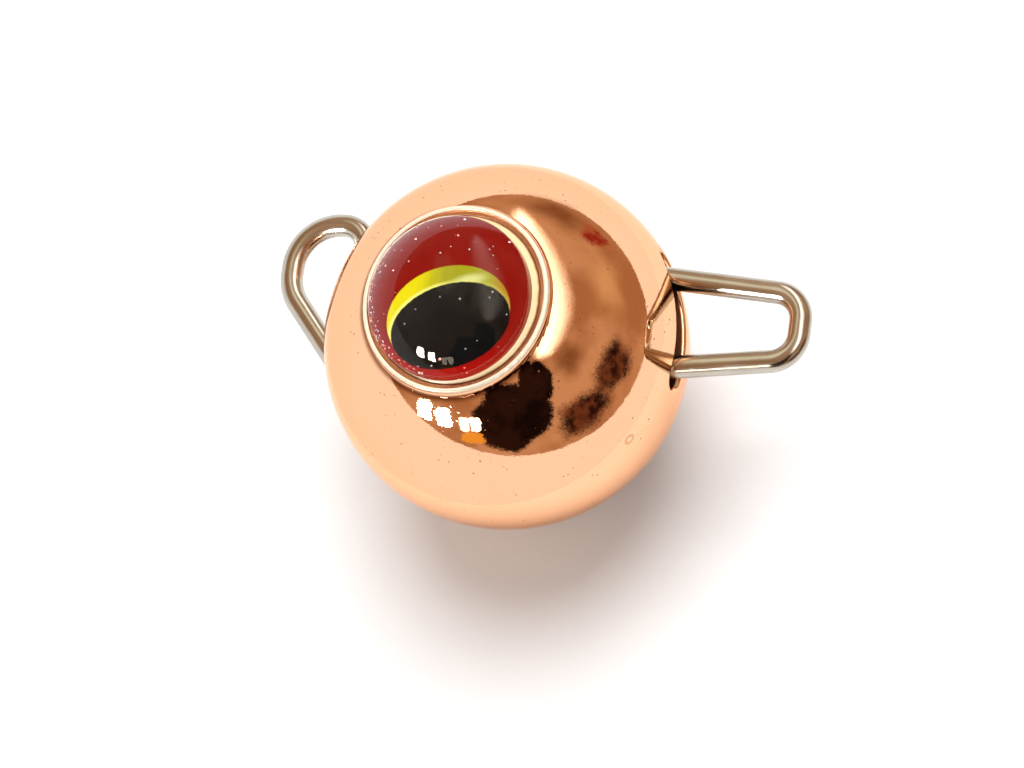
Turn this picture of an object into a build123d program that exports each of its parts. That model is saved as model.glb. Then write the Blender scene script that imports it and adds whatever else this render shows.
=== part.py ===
from build123d import *
import os
from math import atan2, cos, degrees, radians, sqrt, tan

# Clip-on jig head: a plated ball with an eye glued in a raised ring on each side, and one
# spring-wire clip through an off-centre slot.
# Origin: centre of the ball. +X: along the slot to the hook loop. +Z: through the upper eye.
# +Y: the side to which the slot is offset. Millimetres.

# ---- ball ----
ball_diameter = 11.1
slot_side_play = 0.075       # room beside the wire, on each side
slot_height = 4.25           # through slot, across the clip
slot_offset = 0.995          # middle of the slot, off the ball's centre along Y
slot_edge_round = 0.15       # easing of the slot's two mouths

# ---- ring and socket around each eye ----
socket_play = 0.13           # room round a centred eye
socket_depth = 0.30          # ridge's top to socket's floor
ledge_width = 0.13           # flat step between socket and ridge
ledge_drop = 0.12            # ridge's top to ledge
ridge_width = 0.14
ridge_height = 0.22          # above the ball's surface at the ring's outside
ridge_round = 0.065
ring_foot_radius = 0.25      # hollow round between ring and ball
edge_round = 0.02

# ---- stick-on eye ----
eye_diameter = 5.0
eye_shift = (-0.075, -0.05)  # how far off-centre the eye is glued
glue_thickness = 0.10        # under the film
glue_play = 0.01             # hairline between the squeezed-out glue and the socket's wall
film_thickness = 0.12
dome_edge_height = 0.50      # straight side of the resin, above the film
dome_curvature = 3.125       # radius of the resin's crown
dome_edge_round = 0.15

# ---- wire clip ----
wire_diameter = 0.70
wire_play = 0.05             # room between the wire and the slot's ends and edges
hook_loop_length = 3.61      # ball's surface to the middle of the wire at the tip
hook_loop_width = 2.00       # between the legs where they meet the tip, wire middle to middle
hook_loop_drop = 0.125       # the hook loop's middle is this far below the slot's middle
hook_bend_radius = 0.87
run_bend_radius = 6.0        # gentle bend where a leg leaves its run in the slot
upper_run_to = 0.5           # where the upper leg leaves the slot's upper end
lower_run_to = 2.6           # where the lower leg leaves the slot's lower end
foot_length = 0.95           # bent-in free end on the upper run
foot_bend_radius = 0.5
foot_at = -2.2
line_loop_length = 1.73      # ball's surface to the middle of the wire at the far side
line_loop_rise = 0.58        # slot's upper end to the middle of the wire at the loop's top
line_leg_angle = 50.6        # rise of the lower leg out of the slot
line_leg_radius = 0.6
line_side_radius = 1.5
line_top_radius = 1.4
line_return_radius = 0.8
line_return_lean = 14.7      # lean off the vertical of the end that returns into the slot
line_end_depth = 1.57        # how far the returning end reaches below the slot's upper end

ball_radius = ball_diameter / 2
wire_radius = wire_diameter / 2
slot_width = wire_diameter + 2 * slot_side_play
slot_top = slot_offset + slot_height / 2
slot_bottom = slot_offset - slot_height / 2
eye_radius = eye_diameter / 2
socket_radius = eye_radius + socket_play
ridge_inside = socket_radius + ledge_width
ring_radius = ridge_inside + ridge_width
ring_top = sqrt(ball_radius**2 - ring_radius**2) + ridge_height
ledge = ring_top - ledge_drop
socket_floor = ring_top - socket_depth


def ball_outline():
    """Half section of the ball with its rings and sockets, radius along X and height along Y."""
    foot_height = sqrt((ball_radius + ring_foot_radius) ** 2 - (ring_radius + ring_foot_radius) ** 2)
    foot_angle = degrees(atan2(foot_height, ring_radius + ring_foot_radius))
    ring = FilletPolyline(
        (0, socket_floor),
        (socket_radius, socket_floor),
        (socket_radius, ledge),
        (ridge_inside, ledge),
        (ridge_inside, ring_top),
        (ring_radius, ring_top),
        (ring_radius, foot_height),
        radius=[edge_round, edge_round, edge_round, ridge_round, ridge_round],
    )
    foot = CenterArc((ring_radius + ring_foot_radius, foot_height), ring_foot_radius, 180, foot_angle)
    side = CenterArc((0, 0), ball_radius, 0, foot_angle)
    half = ring + foot + side
    axis = Line((0, socket_floor), (0, -socket_floor))
    return make_face(half + mirror(half, Plane.XZ) + axis)


def ball_body():
    ball = revolve(Plane.XZ * ball_outline(), Axis.Z)
    section = Pos(slot_offset, 0) * SlotOverall(slot_height, slot_width)
    slot = extrude(Plane.YZ * section, ball_radius * 1.2, both=True)
    ball -= slot
    mouths = [e for e in ball.edges() if on_mouth(e)]
    return fillet(mouths, slot_edge_round)


def on_mouth(edge):
    """True for an edge that runs round one of the slot's two mouths, on the ball's surface."""
    spots = [edge @ (i / 4) for i in range(5)]
    near_slot = all(abs(p.Z) < slot_width and slot_bottom - 0.01 < p.Y < slot_top + 0.01 for p in spots)
    on_ball = all(abs(p.length - ball_radius) < 0.001 for p in spots)
    return near_slot and on_ball


def disc(radius, bottom, top):
    return Pos(0, 0, bottom) * Cylinder(radius, top - bottom, align=(Align.CENTER, Align.CENTER, Align.MIN))


def eye_glue(film_bottom):
    """Glue under the film, and the collar of it that is squeezed up round the eye's side."""
    pool = disc(socket_radius - glue_play, socket_floor, ledge)
    return pool - Pos(*eye_shift) * disc(eye_radius, film_bottom, ring_top)


def eye_dome(bottom):
    """Domed clear resin: a straight side and a round crown, eased where they meet."""
    edge = bottom + dome_edge_height
    crown_drop = sqrt(dome_curvature**2 - eye_radius**2)
    crown_start = degrees(atan2(crown_drop, eye_radius))
    crown = CenterArc((0, edge - crown_drop), dome_curvature, crown_start, 90 - crown_start)
    straight = Polyline(crown @ 1, (0, bottom), (eye_radius, bottom), (eye_radius, edge))
    section = make_face(crown + straight)
    shoulder = section.vertices().sort_by_distance((eye_radius, edge))[0]
    section = fillet(shoulder, dome_edge_round)
    return Pos(*eye_shift) * revolve(Plane.XZ * section, Axis.Z)


def eye():
    """The three layers of one stick-on eye, seated in the upper socket."""
    film_bottom = socket_floor + glue_thickness
    film_top = film_bottom + film_thickness
    return {
        "eye_adhesive": eye_glue(film_bottom),
        "eye_film": Pos(*eye_shift) * disc(eye_radius, film_bottom, film_top),
        "eye_dome": eye_dome(film_top),
    }


def clip_path():
    """Middle line of the wire, from the free end in the slot, round the hook loop, back through
    the slot, and round the line loop to the end that returns into the slot."""
    upper_run = slot_top - wire_play - wire_radius
    lower_run = slot_bottom + wire_play + wire_radius
    tip = ball_radius + hook_loop_length
    hook_middle = slot_offset - hook_loop_drop
    far_side = -ball_radius - line_loop_length
    leg_slope = tan(radians(line_leg_angle))
    leg_foot = -ball_radius + line_leg_radius / 4
    return_slope = tan(radians(line_return_lean))
    mouth = -sqrt(ball_radius**2 - slot_top**2)
    return_entry = mouth - (wire_radius + wire_play) / cos(radians(line_return_lean))
    points = [
        (foot_at - foot_length * 0.5, upper_run - foot_length * sqrt(0.75)),
        (foot_at, upper_run),
        (upper_run_to, upper_run),
        (tip, hook_middle + hook_loop_width / 2),
        (tip, hook_middle - hook_loop_width / 2),
        (lower_run_to, lower_run),
        (leg_foot, lower_run),
        (far_side, lower_run + (leg_foot - far_side) * leg_slope),
        (far_side, slot_top + line_loop_rise),
        (return_entry - line_loop_rise * return_slope, slot_top + line_loop_rise),
        (return_entry + line_end_depth * return_slope, slot_top - line_end_depth),
    ]
    radii = [
        foot_bend_radius,
        run_bend_radius,
        hook_bend_radius,
        hook_bend_radius,
        run_bend_radius,
        line_leg_radius,
        line_side_radius,
        line_top_radius,
        line_return_radius,
    ]
    return FilletPolyline(*points, radius=radii)


def wire_clip():
    path = clip_path()
    return sweep(Plane(path @ 0, z_dir=path % 0) * Circle(wire_radius), path=path)


def write(shape, name):
    export_step(shape, f"parts/{name}.step")


def main():
    os.makedirs("parts", exist_ok=True)
    write(ball_body(), "ball_body")
    write(wire_clip(), "wire_clip")
    for name, layer in eye().items():
        write(layer, f"{name}_upper")
        write(Rot(180, 0, 0) * layer, f"{name}_lower")


main()
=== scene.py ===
"""Jig head with a sliding wire clip: the looks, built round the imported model.

Lengths in the code are metres unless a name ends in _mm. The frame is the CAD frame: the origin is the ball's
centre, +X runs along the slot to the hook loop, +Z goes through the upper eye.
"""

import math

import bmesh
import bpy
from mathutils import Matrix, Vector


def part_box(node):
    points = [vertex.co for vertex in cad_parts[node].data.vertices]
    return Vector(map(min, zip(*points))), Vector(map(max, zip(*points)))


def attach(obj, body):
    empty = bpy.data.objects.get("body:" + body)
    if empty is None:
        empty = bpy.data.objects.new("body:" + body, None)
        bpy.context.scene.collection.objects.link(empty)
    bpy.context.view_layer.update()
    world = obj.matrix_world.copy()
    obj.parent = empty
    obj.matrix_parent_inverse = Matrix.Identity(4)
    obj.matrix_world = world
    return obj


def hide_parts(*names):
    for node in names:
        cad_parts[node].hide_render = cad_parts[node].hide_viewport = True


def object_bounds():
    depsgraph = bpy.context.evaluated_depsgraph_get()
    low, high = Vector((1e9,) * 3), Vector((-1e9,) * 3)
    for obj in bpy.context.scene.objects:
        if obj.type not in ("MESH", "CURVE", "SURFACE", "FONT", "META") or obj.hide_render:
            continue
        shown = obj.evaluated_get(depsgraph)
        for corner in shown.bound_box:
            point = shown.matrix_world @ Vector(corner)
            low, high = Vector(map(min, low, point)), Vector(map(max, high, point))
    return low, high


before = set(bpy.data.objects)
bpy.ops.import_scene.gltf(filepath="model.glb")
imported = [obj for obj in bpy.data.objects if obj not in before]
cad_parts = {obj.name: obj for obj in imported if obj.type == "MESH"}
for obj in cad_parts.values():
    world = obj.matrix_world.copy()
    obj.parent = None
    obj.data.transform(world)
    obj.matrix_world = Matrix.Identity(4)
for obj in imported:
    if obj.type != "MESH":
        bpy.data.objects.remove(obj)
CAD_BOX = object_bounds()

bl_info = {
    "name": "Jig head",
    "version": (1, 0, 0),
    "blender": (4, 5, 0),
    "location": "3D View > Sidebar > Jig head",
    "description": "Builds a plated ball jig head with resin eyes and a sliding wire clip",
    "category": "Object",
}

MM = 0.001
PRINT_SPAN_MM = 6.0
BALL_RADIUS = CAD_BOX[1][1]
VIEW_BACK = Vector((0.3355, -0.2569, 0.9063)).normalized()
VIEW_RIGHT = Vector((0.9415, 0.1232, -0.3136))
EYE_SIDES = (("upper", 1.0), ("lower", -1.0))


# ---------------------------------------------------------------- sizes and colours a user may change

class JigheadWireSettings(bpy.types.PropertyGroup):
    """Sizes of the wire clip"""

    diameter: bpy.props.FloatProperty(
        name="Wire diameter",
        description="Thickness of the drawn wire",
        default=0.70 * MM,
        min=0.0,
        precision=5,
        unit="LENGTH",
    )
    sides: bpy.props.IntProperty(
        name="Sides",
        description="Flats round the wire's section",
        default=28,
        min=8,
        max=64,
    )
    bend_steps: bpy.props.IntProperty(
        name="Bend steps",
        description="Divisions in each bend",
        default=18,
        min=4,
        max=48,
    )
    metal: bpy.props.FloatVectorProperty(
        name="Metal",
        description="Colour of the polished steel",
        default=(0.60, 0.565, 0.50),
        subtype="COLOR",
    )


class JigheadEyeSettings(bpy.types.PropertyGroup):
    """Sizes and colours of the two eyes"""

    edge_height: bpy.props.FloatProperty(
        name="Edge height",
        description="Height of the dome's straight side",
        default=0.50 * MM,
        precision=5,
        unit="LENGTH",
    )
    crown_radius: bpy.props.FloatProperty(
        name="Crown radius",
        description="Radius of the dome's crown",
        default=3.125 * MM,
        precision=5,
        unit="LENGTH",
    )
    edge_round: bpy.props.FloatProperty(
        name="Edge round",
        description="Rounding between the dome's side and its crown",
        default=0.15 * MM,
        precision=5,
        unit="LENGTH",
    )
    bubble_count: bpy.props.IntProperty(
        name="Bubbles",
        description="Air bubbles left in each resin dome",
        default=26,
        min=0,
    )
    fleck_density: bpy.props.FloatProperty(
        name="Fleck density",
        description="Glitter flecks in each square millimetre of the printed rim",
        default=70.0,
        min=0.0,
    )
    red: bpy.props.FloatVectorProperty(
        name="Red foil",
        description="Colour of the printed red ring",
        default=(0.165, 0.0015, 0.0006),
        subtype="COLOR",
    )
    yellow: bpy.props.FloatVectorProperty(
        name="Yellow iris",
        description="Colour of the printed crescent",
        default=(0.70, 0.58, 0.004),
        subtype="COLOR",
    )
    glue: bpy.props.FloatVectorProperty(
        name="Glue",
        description="Colour of the squeezed-out glue",
        default=(0.82, 0.66, 0.38),
        subtype="COLOR",
    )


class JigheadPlateSettings(bpy.types.PropertyGroup):
    """Finish of the plated ball"""

    copper: bpy.props.FloatVectorProperty(
        name="Copper",
        description="Colour of the plating",
        default=(0.97, 0.56, 0.335),
        subtype="COLOR",
    )
    polish: bpy.props.FloatProperty(
        name="Polish roughness",
        description="Roughness of the clean plating",
        default=0.012,
        min=0.0,
        max=1.0,
        subtype="FACTOR",
    )
    grit_size: bpy.props.FloatProperty(
        name="Grit spacing",
        description="Spacing of the fine dust specks on the plating",
        default=0.17 * MM,
        precision=5,
        unit="LENGTH",
    )


class JigheadStageSettings(bpy.types.PropertyGroup):
    """Light and camera"""

    lens: bpy.props.FloatProperty(
        name="Lens",
        description="Focal length of the camera, in millimetres",
        default=232.4,
    )
    distance: bpy.props.FloatProperty(
        name="Camera distance",
        description="Distance from the camera to the ball's centre plane",
        default=0.200,
        unit="LENGTH",
    )
    key_strength: bpy.props.FloatProperty(
        name="Key strength",
        description="Strength of the soft main light",
        default=3.1,
    )
    fill_strength: bpy.props.FloatProperty(
        name="Fill strength",
        description="Strength of the white surroundings on matt surfaces",
        default=0.46,
    )
    surround_strength: bpy.props.FloatProperty(
        name="Surround strength",
        description="Brightness of the white surroundings in reflections",
        default=1.12,
    )


# ---------------------------------------------------------------- node helpers

def socket_of(sockets, key):
    """An input or output socket by its name or its number"""
    return sockets[key]


def add_node(tree, kind, settings=None, **values):
    """A new node with its properties set and its inputs either set or linked"""
    node = tree.nodes.new(kind)
    for key, value in (settings or {}).items():
        setattr(node, key, value)
    for key, value in values.items():
        plug(tree, node, key.replace("_", " "), value)
    return node


def plug(tree, node, key, value):
    """Sets an input of the node, or links a socket into it"""
    target = socket_of(node.inputs, key)
    if isinstance(value, bpy.types.NodeSocket):
        tree.links.new(value, target)
    elif target.type == "RGBA":
        target.default_value = (*tuple(value)[:3], 1.0)
    else:
        target.default_value = value


def maths(tree, operation, first, second=0.0, third=0.0, clamp=False):
    """A Math node's result"""
    node = tree.nodes.new("ShaderNodeMath")
    node.operation = operation
    node.use_clamp = clamp
    for number, value in enumerate((first, second, third)):
        plug(tree, node, number, value)
    return node.outputs[0]


def vector_maths(tree, operation, first, second=(0.0, 0.0, 0.0), scale=1.0):
    """A Vector Math node's result, or its length"""
    node = tree.nodes.new("ShaderNodeVectorMath")
    node.operation = operation
    plug(tree, node, 0, first)
    plug(tree, node, 1, second)
    if operation == "SCALE":
        plug(tree, node, "Scale", scale)
    return node.outputs["Value" if operation in {"LENGTH", "DOT_PRODUCT"} else "Vector"]


def blend_colour(tree, factor, first, second, mode="MIX"):
    """A colour mixed from two by a factor"""
    node = tree.nodes.new("ShaderNodeMix")
    node.data_type = "RGBA"
    node.blend_type = mode
    plug(tree, node, 0, factor)
    plug(tree, node, 6, first)
    plug(tree, node, 7, second)
    return node.outputs[2]


def between(tree, value, low, high, to_low=0.0, to_high=1.0):
    """A value eased from one range to another"""
    node = tree.nodes.new("ShaderNodeMapRange")
    node.interpolation_type = "SMOOTHSTEP"
    plug(tree, node, "Value", value)
    plug(tree, node, "From Min", low)
    plug(tree, node, "From Max", high)
    plug(tree, node, "To Min", to_low)
    plug(tree, node, "To Max", to_high)
    return node.outputs["Result"]


def noise_of(tree, vector, scale, detail=3.0, roughness=0.5, distortion=0.0):
    """A noise texture's factor"""
    node = add_node(
        tree,
        "ShaderNodeTexNoise",
        Vector=vector,
        Scale=scale,
        Detail=detail,
        Roughness=roughness,
        Distortion=distortion,
    )
    return node.outputs[0]


def new_group(name, inputs, outputs):
    """An empty shader node group with its sockets; inputs are (name, type, default)"""
    group = bpy.data.node_groups.new(name, "ShaderNodeTree")
    for label, kind, default in inputs:
        made = group.interface.new_socket(label, in_out="INPUT", socket_type=kind)
        if default is not None:
            made.default_value = default
    for label, kind in outputs:
        group.interface.new_socket(label, in_out="OUTPUT", socket_type=kind)
    source = group.nodes.new("NodeGroupInput")
    sink = group.nodes.new("NodeGroupOutput")
    return group, source, sink


def use_group(tree, group, **values):
    """A group placed in a tree with its own values"""
    node = tree.nodes.new("ShaderNodeGroup")
    node.node_tree = group
    for key, value in values.items():
        plug(tree, node, key.replace("_", " "), value)
    return node


def new_material(name):
    """A material with a bare Principled shader joined to its output"""
    material = bpy.data.materials.new(name)
    material.use_nodes = True
    tree = material.node_tree
    tree.nodes.clear()
    shader = tree.nodes.new("ShaderNodeBsdfPrincipled")
    output = tree.nodes.new("ShaderNodeOutputMaterial")
    tree.links.new(shader.outputs[0], output.inputs["Surface"])
    return material, tree, shader, output


def object_place(tree):
    """Object coordinates in millimetres"""
    node = tree.nodes.new("ShaderNodeTexCoord")
    return vector_maths(tree, "SCALE", node.outputs["Object"], scale=1.0 / MM)


# ---------------------------------------------------------------- shared effects

def speck_group():
    """Scattered round specks: each cell of a pattern holds one, of its own size, or none"""
    group, source, sink = new_group(
        "scattered_specks",
        [
            ("Vector", "NodeSocketVector", None),
            ("Spacing", "NodeSocketFloat", 0.5),
            ("Size", "NodeSocketFloat", 0.2),
            ("Share", "NodeSocketFloat", 0.5),
        ],
        [("Mask", "NodeSocketFloat")],
    )
    inverse = maths(group, "DIVIDE", 1.0, source.outputs["Spacing"])
    cells = add_node(
        group,
        "ShaderNodeTexVoronoi",
        {"feature": "F1"},
        Vector=source.outputs["Vector"],
        Scale=inverse,
        Randomness=1.0,
    )
    parts = add_node(group, "ShaderNodeSeparateColor", Color=cells.outputs["Color"])
    own_size = maths(group, "MULTIPLY", source.outputs["Size"], parts.outputs[0])
    inner = maths(group, "MULTIPLY", own_size, 0.55)
    round_mask = between(group, cells.outputs["Distance"], inner, own_size, 1.0, 0.0)
    kept = maths(group, "LESS_THAN", parts.outputs[1], source.outputs["Share"])
    group.links.new(maths(group, "MULTIPLY", round_mask, kept), sink.inputs["Mask"])
    return group


def ellipse_group():
    """A turned ellipse with a soft or ragged edge, for flat prints"""
    group, source, sink = new_group(
        "ellipse_mask",
        [
            ("Vector", "NodeSocketVector", None),
            ("Centre", "NodeSocketVector", None),
            ("Long", "NodeSocketFloat", 1.0),
            ("Short", "NodeSocketFloat", 1.0),
            ("Turn", "NodeSocketFloat", 0.0),
            ("Softness", "NodeSocketFloat", 0.02),
            ("Ragged", "NodeSocketFloat", 0.0),
        ],
        [("Mask", "NodeSocketFloat"), ("Distance", "NodeSocketFloat")],
    )
    moved = vector_maths(group, "SUBTRACT", source.outputs["Vector"], source.outputs["Centre"])
    turned = add_node(group, "ShaderNodeVectorRotate", {"rotation_type": "Z_AXIS", "invert": True}, Vector=moved)
    plug(group, turned, "Angle", source.outputs["Turn"])
    parts = add_node(group, "ShaderNodeSeparateXYZ", Vector=turned.outputs[0])
    along = maths(group, "DIVIDE", parts.outputs["X"], source.outputs["Long"])
    across = maths(group, "DIVIDE", parts.outputs["Y"], source.outputs["Short"])
    reach = maths(group, "SQRT", maths(group, "ADD", maths(group, "POWER", along, 2.0), maths(group, "POWER", across, 2.0)))
    outside = maths(group, "MULTIPLY", maths(group, "SUBTRACT", reach, 1.0), source.outputs["Short"])
    wobble = maths(group, "SUBTRACT", noise_of(group, source.outputs["Vector"], 9.0, 6.0, 0.7), 0.5)
    distance = maths(group, "MULTIPLY_ADD", wobble, source.outputs["Ragged"], outside)
    low = maths(group, "MULTIPLY", source.outputs["Softness"], -1.0)
    mask = between(group, distance, low, source.outputs["Softness"], 1.0, 0.0)
    group.links.new(mask, sink.inputs["Mask"])
    group.links.new(distance, sink.inputs["Distance"])
    return group


def ripple_group():
    """Long soft waves with fine orange peel on them, as a height"""
    group, source, sink = new_group(
        "peel_height",
        [
            ("Vector", "NodeSocketVector", None),
            ("Wave", "NodeSocketFloat", 0.5),
            ("Peel", "NodeSocketFloat", 3.0),
            ("Peel Share", "NodeSocketFloat", 0.3),
            ("Grain Share", "NodeSocketFloat", 0.0),
        ],
        [("Height", "NodeSocketFloat")],
    )
    wave = noise_of(group, source.outputs["Vector"], source.outputs["Wave"], 2.0, 0.4)
    peel = noise_of(group, source.outputs["Vector"], source.outputs["Peel"], 3.0, 0.6)
    grain = noise_of(group, source.outputs["Vector"], 15.0, 2.0, 0.6)
    height = maths(group, "MULTIPLY_ADD", peel, source.outputs["Peel Share"], wave)
    height = maths(group, "MULTIPLY_ADD", grain, source.outputs["Grain Share"], height)
    group.links.new(height, sink.inputs["Height"])
    return group


# ---------------------------------------------------------------- finishes

def copper_plate(settings, eye_radius_mm, groups):
    """Bright copper plating with orange peel and dust specks, a painted highlight on the ring's ridge, and painted
    shade at the ring's foot, on the rougher socket ledge and in the slot
    """
    material, tree, shader, _ = new_material("plated_copper")
    place = object_place(tree)
    parts = add_node(tree, "ShaderNodeSeparateXYZ", Vector=place)
    flat = add_node(tree, "ShaderNodeCombineXYZ", X=parts.outputs["X"], Y=parts.outputs["Y"])
    from_axis = vector_maths(tree, "LENGTH", flat.outputs[0])
    height = maths(tree, "ABSOLUTE", parts.outputs["Z"])
    uneven = maths(tree, "SUBTRACT", noise_of(tree, place, 2.2, 5.0, 0.65), 0.5)
    from_axis = maths(tree, "MULTIPLY_ADD", uneven, 0.03, from_axis)

    near_eye = between(tree, height, 4.60, 4.64)
    inside_ring = between(tree, from_axis, eye_radius_mm + 0.25, eye_radius_mm + 0.28, 1.0, 0.0)
    ledge = maths(tree, "MULTIPLY", near_eye, inside_ring)
    ridge_out = between(tree, from_axis, eye_radius_mm + 0.43, eye_radius_mm + 0.46, 1.0, 0.0)
    ridge_highlight = maths(tree, "MULTIPLY", maths(tree, "SUBTRACT", ridge_out, inside_ring), between(tree, height, 4.80, 4.86))

    dust = use_group(tree, groups["specks"], Vector=place, Spacing=settings.grit_size / MM, Size=0.26, Share=0.6)
    spots = use_group(tree, groups["specks"], Vector=place, Spacing=0.42, Size=0.12, Share=0.7)
    pits = use_group(tree, groups["specks"], Vector=place, Spacing=0.42, Size=0.11, Share=0.4)
    patchy = between(tree, noise_of(tree, place, 0.7, 3.0, 0.6), 0.40, 0.56)
    dust_mask = maths(tree, "MULTIPLY", dust.outputs["Mask"], patchy)
    dark_marks = maths(tree, "MAXIMUM", maths(tree, "MULTIPLY", dust_mask, 0.7), maths(tree, "MULTIPLY", spots.outputs["Mask"], 0.9))

    crater_at = Vector((0.823, -0.544, 0.161)).normalized() * 5.55
    from_crater = vector_maths(tree, "LENGTH", vector_maths(tree, "SUBTRACT", place, tuple(crater_at)))
    crater_ring = maths(tree, "MULTIPLY", between(tree, from_crater, 0.07, 0.12), between(tree, from_crater, 0.16, 0.22, 1.0, 0.0))
    crater_pit = between(tree, from_crater, 0.02, 0.12, 1.0, 0.0)

    tone = noise_of(tree, place, 0.35, 3.0, 0.5)
    clean = blend_colour(tree, tone, settings.copper, tuple(c * k for c, k in zip(settings.copper, (0.985, 0.95, 0.93))))
    marked = blend_colour(tree, dark_marks, clean, (0.20, 0.075, 0.035))
    ringed = blend_colour(tree, maths(tree, "MULTIPLY", crater_ring, 0.45), marked, (0.30, 0.12, 0.06))
    # painted highlight: the ring's ridge is coloured pale cream, with less metal and a little roughness, for the
    # bright reflection along its rounded top
    ring_highlight_and_shade = blend_colour(tree, ridge_highlight, ringed, (0.98, 0.86, 0.66))
    # painted shade: a brown line round the foot of the ring, strongest on the side away from the light and glare
    foot_shade = maths(tree, "MULTIPLY", between(tree, from_axis, eye_radius_mm + 0.42, eye_radius_mm + 0.46), between(tree, from_axis, eye_radius_mm + 0.48, eye_radius_mm + 0.66, 1.0, 0.0))
    foot_shade = maths(tree, "MULTIPLY", foot_shade, between(tree, height, 4.3, 4.5))
    away_from_light = between(tree, maths(tree, "ADD", parts.outputs["X"], parts.outputs["Y"]), -1.0, 2.4, 0.95, 0.1)
    ring_highlight_and_shade = blend_colour(tree, maths(tree, "MULTIPLY", foot_shade, away_from_light), ring_highlight_and_shade, (0.27, 0.10, 0.045))
    # painted shade: the socket ledge is darkened to a mottled brown for the shade in the gap round the eye; it is also
    # rougher, with a fine bump
    dull = blend_colour(tree, maths(tree, "MULTIPLY", ledge, 0.9), ring_highlight_and_shade, blend_colour(tree, noise_of(tree, place, 14.0, 4.0, 0.7), (0.38, 0.12, 0.05), (0.80, 0.42, 0.22)))
    # painted shade: the slot's walls are darkened brown for the shade inside the slot, and made rougher
    depth = vector_maths(tree, "LENGTH", place)
    in_slot = maths(tree, "MULTIPLY", between(tree, height, 0.428, 0.45, 1.0, 0.0), between(tree, depth, 5.38, 5.50, 1.0, 0.0))
    dull = blend_colour(tree, maths(tree, "MULTIPLY", in_slot, 0.92), dull, (0.20, 0.075, 0.04))
    plug(tree, shader, "Base Color", dull)
    # less metal on the ridge is part of its painted highlight
    plug(tree, shader, "Metallic", maths(tree, "MULTIPLY_ADD", ridge_highlight, -0.75, 1.0))
    shader.inputs["Specular Tint"].default_value = (1.0, 0.80, 0.66, 1.0)

    cloud = between(tree, noise_of(tree, place, 0.8, 4.0, 0.6), 0.35, 0.75, settings.polish, settings.polish + 0.035)
    rough = maths(tree, "MAXIMUM", cloud, maths(tree, "MULTIPLY", dark_marks, 0.45))
    rough = maths(tree, "MAXIMUM", rough, maths(tree, "MULTIPLY", ledge, 0.32))
    rough = maths(tree, "MAXIMUM", rough, maths(tree, "MULTIPLY", ridge_highlight, 0.16))
    rough = maths(tree, "MAXIMUM", rough, maths(tree, "MULTIPLY", in_slot, 0.38))
    plug(tree, shader, "Roughness", rough)

    peel = use_group(tree, groups["ripple"], Vector=place, Wave=0.7, Peel=4.0, Peel_Share=0.20, Grain_Share=0.07)
    texture = maths(tree, "MULTIPLY", noise_of(tree, place, 16.0, 4.0, 0.7), maths(tree, "MULTIPLY", ledge, 0.9))
    raised = maths(tree, "ADD", peel.outputs["Height"], texture)
    lowered = maths(tree, "SUBTRACT", raised, maths(tree, "MULTIPLY", pits.outputs["Mask"], 0.10))
    lowered = maths(tree, "SUBTRACT", lowered, maths(tree, "MULTIPLY", crater_pit, 0.35))
    bump = add_node(tree, "ShaderNodeBump", Strength=0.55, Distance=0.012 * MM, Height=lowered)
    tree.links.new(bump.outputs[0], shader.inputs["Normal"])
    return material


def spring_wire(settings, groups):
    """Polished drawn steel with lines along it and a few dull specks"""
    material, tree, shader, _ = new_material("drawn_steel")
    along = add_node(tree, "ShaderNodeAttribute", {"attribute_name": "along"})
    around = add_node(tree, "ShaderNodeAttribute", {"attribute_name": "around"})
    parts = add_node(tree, "ShaderNodeSeparateXYZ", Vector=around.outputs["Vector"])
    run = add_node(tree, "ShaderNodeCombineXYZ", X=parts.outputs["X"], Y=parts.outputs["Y"], Z=maths(tree, "MULTIPLY", along.outputs["Fac"], 0.09 / MM))
    lines = noise_of(tree, run.outputs[0], 7.0, 5.0, 0.7)
    place = object_place(tree)
    specks = use_group(tree, groups["specks"], Vector=place, Spacing=0.30, Size=0.13, Share=0.35)
    smoke = noise_of(tree, place, 1.1, 3.0, 0.55)
    metal = blend_colour(tree, smoke, settings.metal, tuple(c * k for c, k in zip(settings.metal, (0.80, 0.76, 0.70))))
    drawn = blend_colour(tree, between(tree, lines, 0.52, 0.75), metal, (0.36, 0.33, 0.29))
    marked = blend_colour(tree, maths(tree, "MULTIPLY", specks.outputs["Mask"], 0.5), drawn, (0.12, 0.09, 0.07))
    plug(tree, shader, "Base Color", marked)
    shader.inputs["Metallic"].default_value = 1.0
    plug(tree, shader, "Roughness", between(tree, lines, 0.3, 0.8, 0.13, 0.30))
    bump = add_node(tree, "ShaderNodeBump", Strength=0.35, Distance=0.01 * MM, Height=lines)
    tree.links.new(bump.outputs[0], shader.inputs["Normal"])
    return material


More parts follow.
